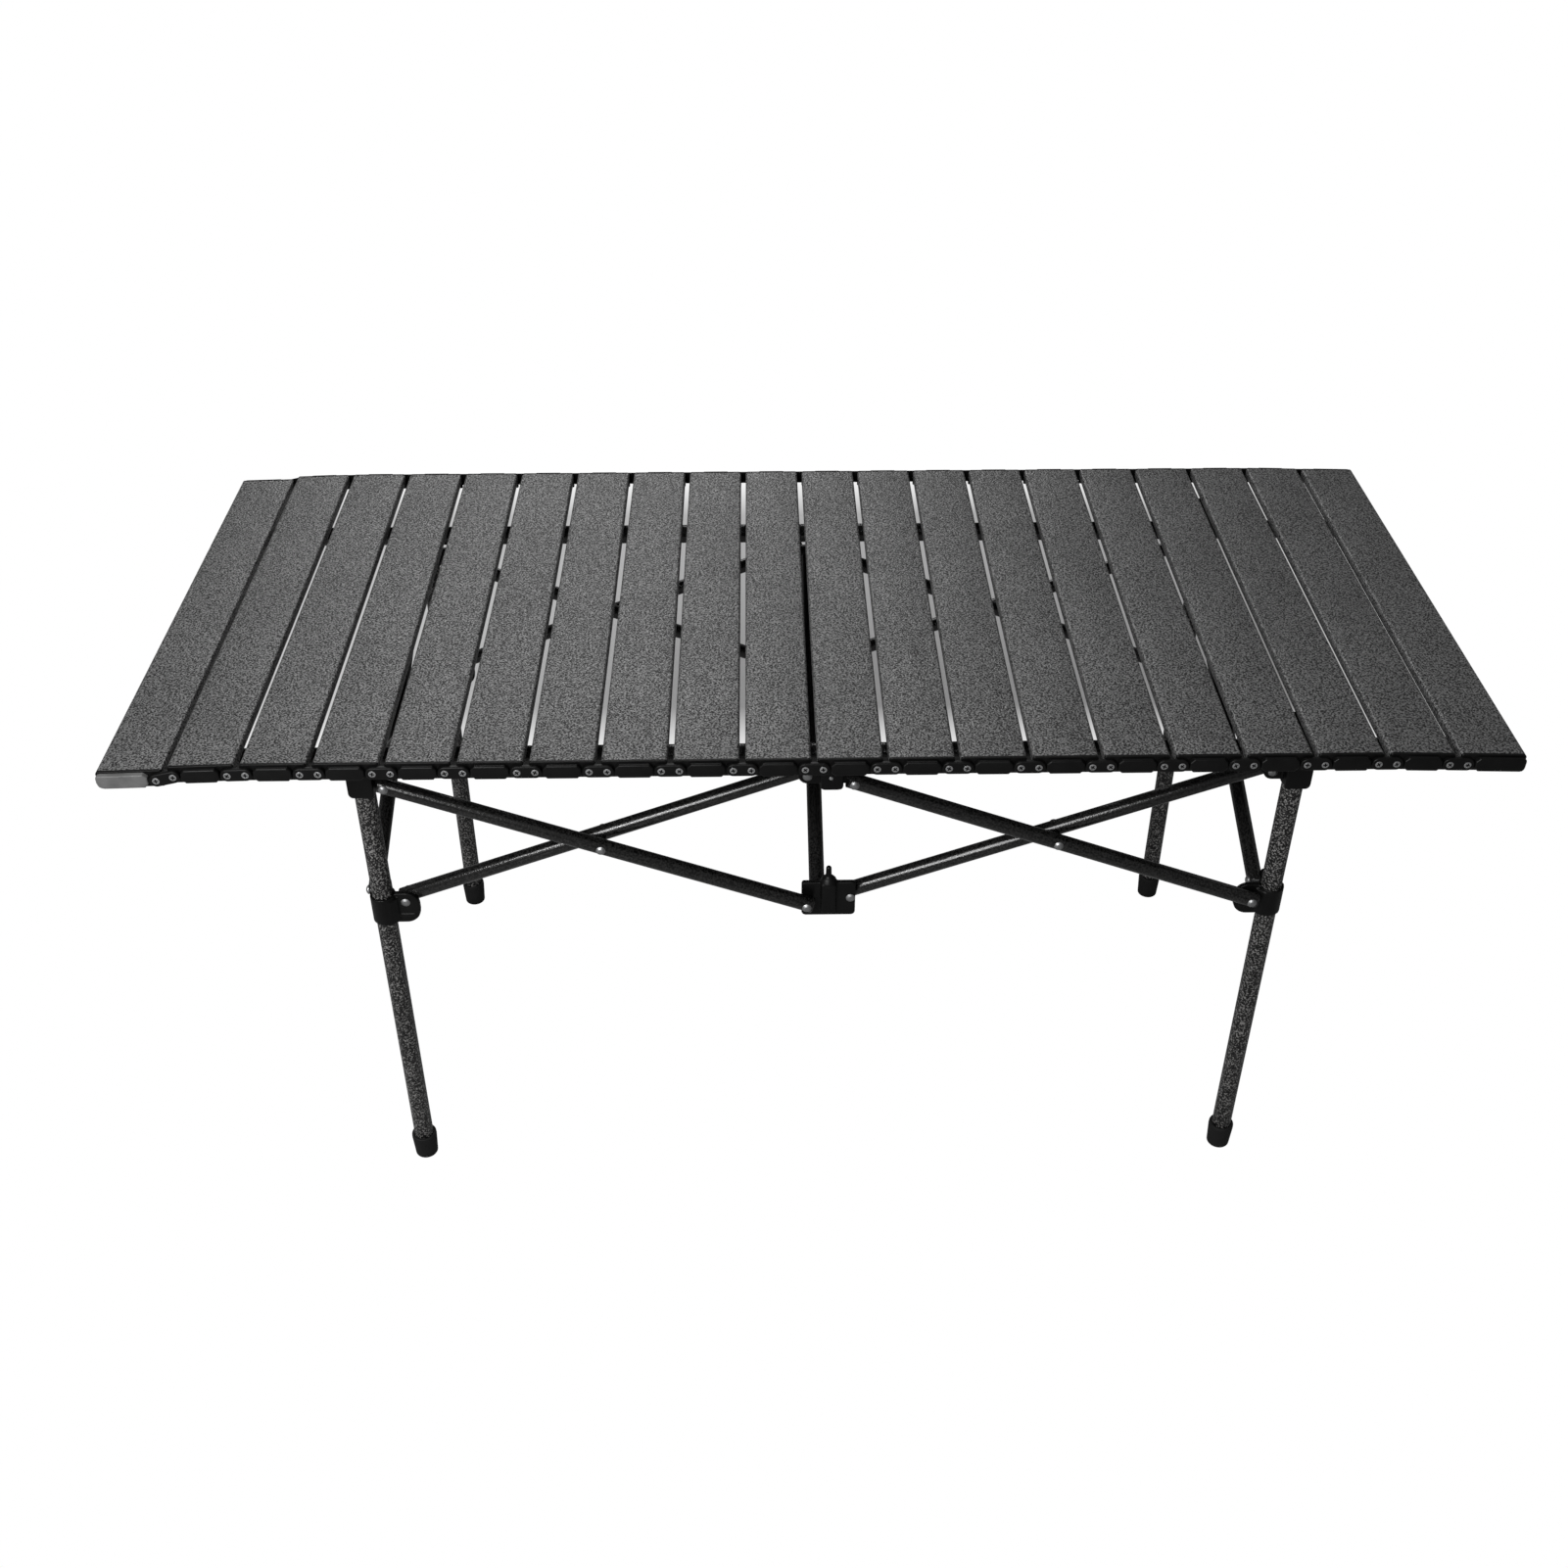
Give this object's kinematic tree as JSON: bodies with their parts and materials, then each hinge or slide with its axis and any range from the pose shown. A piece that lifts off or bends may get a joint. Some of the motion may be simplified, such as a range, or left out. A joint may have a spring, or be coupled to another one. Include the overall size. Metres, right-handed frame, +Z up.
{
  "type": "folding picnic table",
  "caption": "Roll-up slatted picnic table on a concertina scissor frame, with tube legs, long rails and rubber feet.",
  "frame": {"origin": "on the floor under the middle of the table top", "axes": "+X along the table to the user's right, +Y from the front long side to the back, +Z up"},
  "size_m": [1.1952, 0.544, 0.5401],
  "materials": {
    "slat": "dark grey hammertone powder coat, black nylon end caps",
    "leg": "dark bronze-grey hammertone",
    "bar": "glossy black hammertone, zinc rivets",
    "nylon": "moulded black nylon",
    "rubber": "matte black"
  },
  "bodies": {
    "center_bracket_front": {"center_bracket_front": "nylon"},
    "leg_front_left": {"leg_front_left": "leg", "corner_bracket_front_left": "nylon", "foot_front_left": "rubber"},
    "leg_front_right": {"leg_front_right": "leg", "corner_bracket_front_right": "nylon", "foot_front_right": "rubber"},
    "leg_back_left": {"leg_back_left": "leg", "corner_bracket_back_left": "nylon", "foot_back_left": "rubber"},
    "leg_back_right": {"leg_back_right": "leg", "corner_bracket_back_right": "nylon", "foot_back_right": "rubber"},
    "slider_front_left": {"slider_front_left": "nylon"},
    "slider_front_right": {"slider_front_right": "nylon"},
    "slider_back_left": {"slider_back_left": "nylon"},
    "slider_back_right": {"slider_back_right": "nylon"},
    "center_hub_front": {"center_hub_front": "nylon"},
    "center_hub_back": {"center_hub_back": "nylon"},
    "center_bracket_back": {"center_bracket_back": "nylon"},
    "bar_front_left_outer": {"bar_front_left_outer": "bar"},
    "bar_front_left_inner": {"bar_front_left_inner": "bar"},
    "bar_front_right_outer": {"bar_front_right_outer": "bar"},
    "bar_front_right_inner": {"bar_front_right_inner": "bar"},
    "bar_back_left_outer": {"bar_back_left_outer": "bar"},
    "bar_back_left_inner": {"bar_back_left_inner": "bar"},
    "bar_back_right_outer": {"bar_back_right_outer": "bar"},
    "bar_back_right_inner": {"bar_back_right_inner": "bar"},
    "brace_left_down": {"brace_left_down": "bar"},
    "brace_left_up": {"brace_left_up": "bar"},
    "brace_right_down": {"brace_right_down": "bar"},
    "brace_right_up": {"brace_right_up": "bar"},
    "brace_center_front": {"brace_center_front": "bar"},
    "brace_center_back": {"brace_center_back": "bar"},
    "rail_front_right": {"rail_front_right": "bar"},
    "rail_front_left": {"rail_front_left": "bar"},
    "rail_back_right": {"rail_back_right": "bar"},
    "rail_back_left": {"rail_back_left": "bar"},
    "slat_13": {"slat_13": "slat"},
    "slat_12": {"slat_12": "slat"},
    "slat_11": {"slat_11": "slat"},
    "slat_10": {"slat_10": "slat"},
    "slat_09": {"slat_09": "slat"},
    "slat_08": {"slat_08": "slat"},
    "slat_07": {"slat_07": "slat"},
    "slat_06": {"slat_06": "slat"},
    "slat_05": {"slat_05": "slat"},
    "slat_04": {"slat_04": "slat"},
    "slat_03": {"slat_03": "slat"},
    "slat_02": {"slat_02": "slat"},
    "slat_01": {"slat_01": "slat"},
    "slat_14": {"slat_14": "slat"},
    "slat_15": {"slat_15": "slat"},
    "slat_16": {"slat_16": "slat"},
    "slat_17": {"slat_17": "slat"},
    "slat_18": {"slat_18": "slat"},
    "slat_19": {"slat_19": "slat"},
    "slat_20": {"slat_20": "slat"}
  },
  "joints": [
    {"name": "frame_fold", "type": "hinge", "parent": "center_bracket_front", "child": "bar_front_left_inner", "pos_m": [-0.0035, -0.2025, 0.477], "axis": [0, -1, 0], "range_deg": [0, 61]},
    {"name": "slider_front_left_pivot", "type": "hinge", "parent": "bar_front_left_inner", "child": "slider_front_left", "pos_m": [-0.3745, -0.2025, 0.3375], "axis": [0, 1, 0], "range_deg": [0, 61]},
    {"name": "bar_front_left_outer_pivot", "type": "hinge", "parent": "bar_front_left_inner", "child": "bar_front_left_outer", "pos_m": [-0.189, -0.2025, 0.40725], "axis": [0, 1, 0], "range_deg": [0, 122]},
    {"name": "leg_front_left_pivot", "type": "hinge", "parent": "bar_front_left_outer", "child": "leg_front_left", "pos_m": [-0.3745, -0.2025, 0.477], "axis": [0, -1, 0], "range_deg": [0, 61]},
    {"name": "center_hub_front_pivot", "type": "hinge", "parent": "bar_front_left_outer", "child": "center_hub_front", "pos_m": [-0.0035, -0.2025, 0.3375], "axis": [0, -1, 0], "range_deg": [0, 61]},
    {"name": "brace_left_down_pivot", "type": "hinge", "parent": "leg_front_left", "child": "brace_left_down", "pos_m": [-0.395, -0.1855, 0.477], "axis": [-1, 0, 0], "range_deg": [0, 61]},
    {"name": "slider_back_left_pivot", "type": "hinge", "parent": "brace_left_down", "child": "slider_back_left", "pos_m": [-0.395, 0.1855, 0.3375], "axis": [1, 0, 0], "range_deg": [0, 61]},
    {"name": "brace_left_up_pivot", "type": "hinge", "parent": "brace_left_down", "child": "brace_left_up", "pos_m": [-0.395, 0, 0.40725], "axis": [1, 0, 0], "range_deg": [0, 122]},
    {"name": "leg_back_left_pivot", "type": "hinge", "parent": "brace_left_up", "child": "leg_back_left", "pos_m": [-0.395, 0.1855, 0.477], "axis": [-1, 0, 0], "range_deg": [0, 61]},
    {"name": "bar_front_right_outer_pivot", "type": "hinge", "parent": "center_bracket_front", "child": "bar_front_right_outer", "pos_m": [0.0375, -0.2025, 0.477], "axis": [0, 1, 0], "range_deg": [0, 61]},
    {"name": "slider_front_right_pivot", "type": "hinge", "parent": "bar_front_right_outer", "child": "slider_front_right", "pos_m": [0.4085, -0.2025, 0.3375], "axis": [0, -1, 0], "range_deg": [0, 61]},
    {"name": "bar_front_right_inner_pivot", "type": "hinge", "parent": "bar_front_right_outer", "child": "bar_front_right_inner", "pos_m": [0.223, -0.2025, 0.40725], "axis": [0, -1, 0], "range_deg": [0, 122]},
    {"name": "leg_front_right_pivot", "type": "hinge", "parent": "bar_front_right_inner", "child": "leg_front_right", "pos_m": [0.4085, -0.2025, 0.477], "axis": [0, 1, 0], "range_deg": [0, 61]},
    {"name": "brace_right_up_pivot", "type": "hinge", "parent": "leg_front_right", "child": "brace_right_up", "pos_m": [0.429, -0.1855, 0.477], "axis": [-1, 0, 0], "range_deg": [0, 61]},
    {"name": "slider_back_right_pivot", "type": "hinge", "parent": "brace_right_up", "child": "slider_back_right", "pos_m": [0.429, 0.1855, 0.3375], "axis": [1, 0, 0], "range_deg": [0, 61]},
    {"name": "brace_right_down_pivot", "type": "hinge", "parent": "brace_right_up", "child": "brace_right_down", "pos_m": [0.429, 0, 0.40725], "axis": [1, 0, 0], "range_deg": [0, 122]},
    {"name": "leg_back_right_pivot", "type": "hinge", "parent": "brace_right_down", "child": "leg_back_right", "pos_m": [0.429, 0.1855, 0.477], "axis": [-1, 0, 0], "range_deg": [0, 61]},
    {"name": "brace_center_front_pivot", "type": "hinge", "parent": "center_bracket_front", "child": "brace_center_front", "pos_m": [0.017, -0.1855, 0.477], "axis": [-1, 0, 0], "range_deg": [0, 61]},
    {"name": "center_hub_back_pivot", "type": "hinge", "parent": "brace_center_front", "child": "center_hub_back", "pos_m": [0.017, 0.1855, 0.3375], "axis": [1, 0, 0], "range_deg": [0, 61]},
    {"name": "brace_center_back_pivot", "type": "hinge", "parent": "brace_center_front", "child": "brace_center_back", "pos_m": [0.017, 0, 0.40725], "axis": [1, 0, 0], "range_deg": [0, 122]},
    {"name": "center_bracket_back_pivot", "type": "hinge", "parent": "brace_center_back", "child": "center_bracket_back", "pos_m": [0.017, 0.1855, 0.477], "axis": [-1, 0, 0], "range_deg": [0, 61]},
    {"name": "bar_back_right_inner_pivot", "type": "hinge", "parent": "center_bracket_back", "child": "bar_back_right_inner", "pos_m": [0.0375, 0.2025, 0.477], "axis": [0, 1, 0], "range_deg": [0, 61]},
    {"name": "bar_back_right_outer_pivot", "type": "hinge", "parent": "bar_back_right_inner", "child": "bar_back_right_outer", "pos_m": [0.223, 0.2025, 0.40725], "axis": [0, -1, 0], "range_deg": [0, 122]},
    {"name": "bar_back_left_outer_pivot", "type": "hinge", "parent": "center_bracket_back", "child": "bar_back_left_outer", "pos_m": [-0.0035, 0.2025, 0.477], "axis": [0, -1, 0], "range_deg": [0, 61]},
    {"name": "bar_back_left_inner_pivot", "type": "hinge", "parent": "bar_back_left_outer", "child": "bar_back_left_inner", "pos_m": [-0.189, 0.2025, 0.40725], "axis": [0, 1, 0], "range_deg": [0, 122]},
    {"name": "top_lift", "type": "slide", "parent": "center_bracket_front", "child": "slat_13", "axis": [0, 0, 1], "range_m": [0, 0.3]},
    {"name": "rail_front_lift", "type": "slide", "parent": "center_bracket_front", "child": "rail_front_right", "axis": [0, 0, 1], "range_m": [0, 0.12]},
    {"name": "rail_back_lift", "type": "slide", "parent": "center_bracket_back", "child": "rail_back_right", "axis": [0, 0, 1], "range_m": [0, 0.12]},
    {"name": "rail_split", "type": "slide", "parent": "rail_front_right", "child": "rail_front_left", "axis": [-1, 0, 0], "range_m": [0, 0.06]},
    {"name": "rail_back_split", "type": "slide", "parent": "rail_back_right", "child": "rail_back_left", "axis": [-1, 0, 0], "range_m": [0, 0.06]},
    {"name": "top_roll", "type": "hinge", "parent": "slat_13", "child": "slat_12", "pos_m": [0.1275, 0, 0.532], "axis": [0, 1, 0], "range_deg": [0, 38]},
    {"name": "slat_11_hinge", "type": "hinge", "parent": "slat_12", "child": "slat_11", "pos_m": [0.0675, 0, 0.532], "axis": [0, 1, 0], "range_deg": [0, 39.29]},
    {"name": "slat_10_hinge", "type": "hinge", "parent": "slat_11", "child": "slat_10", "pos_m": [0.0075, 0, 0.532], "axis": [0, 1, 0], "range_deg": [0, 40.77]},
    {"name": "slat_09_hinge", "type": "hinge", "parent": "slat_10", "child": "slat_09", "pos_m": [-0.0525, 0, 0.532], "axis": [0, 1, 0], "range_deg": [0, 42.41]},
    {"name": "slat_08_hinge", "type": "hinge", "parent": "slat_09", "child": "slat_08", "pos_m": [-0.1125, 0, 0.532], "axis": [0, 1, 0], "range_deg": [0, 44.23]},
    {"name": "slat_07_hinge", "type": "hinge", "parent": "slat_08", "child": "slat_07", "pos_m": [-0.1725, 0, 0.532], "axis": [0, 1, 0], "range_deg": [0, 46.36]},
    {"name": "slat_06_hinge", "type": "hinge", "parent": "slat_07", "child": "slat_06", "pos_m": [-0.2325, 0, 0.532], "axis": [0, 1, 0], "range_deg": [0, 48.83]},
    {"name": "slat_05_hinge", "type": "hinge", "parent": "slat_06", "child": "slat_05", "pos_m": [-0.2925, 0, 0.532], "axis": [0, 1, 0], "range_deg": [0, 51.76]},
    {"name": "slat_04_hinge", "type": "hinge", "parent": "slat_05", "child": "slat_04", "pos_m": [-0.3525, 0, 0.532], "axis": [0, 1, 0], "range_deg": [0, 55.29]},
    {"name": "slat_03_hinge", "type": "hinge", "parent": "slat_04", "child": "slat_03", "pos_m": [-0.4125, 0, 0.532], "axis": [0, 1, 0], "range_deg": [0, 59.7]},
    {"name": "slat_02_hinge", "type": "hinge", "parent": "slat_03", "child": "slat_02", "pos_m": [-0.4725, 0, 0.532], "axis": [0, 1, 0], "range_deg": [0, 65.44]},
    {"name": "slat_01_hinge", "type": "hinge", "parent": "slat_02", "child": "slat_01", "pos_m": [-0.53248, 0, 0.53043], "axis": [0, 1, 0], "range_deg": [0, 73.42]},
    {"name": "slat_14_hinge", "type": "hinge", "parent": "slat_13", "child": "slat_14", "pos_m": [0.1875, 0, 0.532], "axis": [0, -1, 0], "range_deg": [0, 36.82]},
    {"name": "slat_15_hinge", "type": "hinge", "parent": "slat_14", "child": "slat_15", "pos_m": [0.2475, 0, 0.532], "axis": [0, -1, 0], "range_deg": [0, 35.72]},
    {"name": "slat_16_hinge", "type": "hinge", "parent": "slat_15", "child": "slat_16", "pos_m": [0.3075, 0, 0.532], "axis": [0, -1, 0], "range_deg": [0, 34.73]},
    {"name": "slat_17_hinge", "type": "hinge", "parent": "slat_16", "child": "slat_17", "pos_m": [0.3675, 0, 0.532], "axis": [0, -1, 0], "range_deg": [0, 33.86]},
    {"name": "slat_18_hinge", "type": "hinge", "parent": "slat_17", "child": "slat_18", "pos_m": [0.4275, 0, 0.532], "axis": [0, -1, 0], "range_deg": [0, 32.98]},
    {"name": "slat_19_hinge", "type": "hinge", "parent": "slat_18", "child": "slat_19", "pos_m": [0.4875, 0, 0.532], "axis": [0, -1, 0], "range_deg": [0, 32.22]},
    {"name": "slat_20_hinge", "type": "hinge", "parent": "slat_19", "child": "slat_20", "pos_m": [0.54748, 0, 0.53043], "axis": [0, -1, 0], "range_deg": [0, 31.5]}
  ],
  "couplings": [
    {"joint": "slider_front_left_pivot", "follows": "frame_fold", "ratio": 1},
    {"joint": "bar_front_left_outer_pivot", "follows": "frame_fold", "ratio": 2},
    {"joint": "leg_front_left_pivot", "follows": "frame_fold", "ratio": 1},
    {"joint": "center_hub_front_pivot", "follows": "frame_fold", "ratio": 1},
    {"joint": "brace_left_down_pivot", "follows": "frame_fold", "ratio": 1},
    {"joint": "slider_back_left_pivot", "follows": "frame_fold", "ratio": 1},
    {"joint": "brace_left_up_pivot", "follows": "frame_fold", "ratio": 2},
    {"joint": "leg_back_left_pivot", "follows": "frame_fold", "ratio": 1},
    {"joint": "bar_front_right_outer_pivot", "follows": "frame_fold", "ratio": 1},
    {"joint": "slider_front_right_pivot", "follows": "frame_fold", "ratio": 1},
    {"joint": "bar_front_right_inner_pivot", "follows": "frame_fold", "ratio": 2},
    {"joint": "leg_front_right_pivot", "follows": "frame_fold", "ratio": 1},
    {"joint": "brace_right_up_pivot", "follows": "frame_fold", "ratio": 1},
    {"joint": "slider_back_right_pivot", "follows": "frame_fold", "ratio": 1},
    {"joint": "brace_right_down_pivot", "follows": "frame_fold", "ratio": 2},
    {"joint": "leg_back_right_pivot", "follows": "frame_fold", "ratio": 1},
    {"joint": "brace_center_front_pivot", "follows": "frame_fold", "ratio": 1},
    {"joint": "center_hub_back_pivot", "follows": "frame_fold", "ratio": 1},
    {"joint": "brace_center_back_pivot", "follows": "frame_fold", "ratio": 2},
    {"joint": "center_bracket_back_pivot", "follows": "frame_fold", "ratio": 1},
    {"joint": "bar_back_right_inner_pivot", "follows": "frame_fold", "ratio": 1},
    {"joint": "bar_back_right_outer_pivot", "follows": "frame_fold", "ratio": 2},
    {"joint": "bar_back_left_outer_pivot", "follows": "frame_fold", "ratio": 1},
    {"joint": "bar_back_left_inner_pivot", "follows": "frame_fold", "ratio": 2},
    {"joint": "rail_front_lift", "follows": "top_lift", "ratio": 0.4},
    {"joint": "rail_back_lift", "follows": "top_lift", "ratio": 0.4},
    {"joint": "rail_back_split", "follows": "rail_split", "ratio": 1},
    {"joint": "slat_11_hinge", "follows": "top_roll", "ratio": 1.034},
    {"joint": "slat_10_hinge", "follows": "top_roll", "ratio": 1.073},
    {"joint": "slat_09_hinge", "follows": "top_roll", "ratio": 1.116},
    {"joint": "slat_08_hinge", "follows": "top_roll", "ratio": 1.164},
    {"joint": "slat_07_hinge", "follows": "top_roll", "ratio": 1.22},
    {"joint": "slat_06_hinge", "follows": "top_roll", "ratio": 1.285},
    {"joint": "slat_05_hinge", "follows": "top_roll", "ratio": 1.362},
    {"joint": "slat_04_hinge", "follows": "top_roll", "ratio": 1.455},
    {"joint": "slat_03_hinge", "follows": "top_roll", "ratio": 1.571},
    {"joint": "slat_02_hinge", "follows": "top_roll", "ratio": 1.722},
    {"joint": "slat_01_hinge", "follows": "top_roll", "ratio": 1.932},
    {"joint": "slat_14_hinge", "follows": "top_roll", "ratio": 0.969},
    {"joint": "slat_15_hinge", "follows": "top_roll", "ratio": 0.94},
    {"joint": "slat_16_hinge", "follows": "top_roll", "ratio": 0.914},
    {"joint": "slat_17_hinge", "follows": "top_roll", "ratio": 0.891},
    {"joint": "slat_18_hinge", "follows": "top_roll", "ratio": 0.868},
    {"joint": "slat_19_hinge", "follows": "top_roll", "ratio": 0.848},
    {"joint": "slat_20_hinge", "follows": "top_roll", "ratio": 0.829}
  ]
}
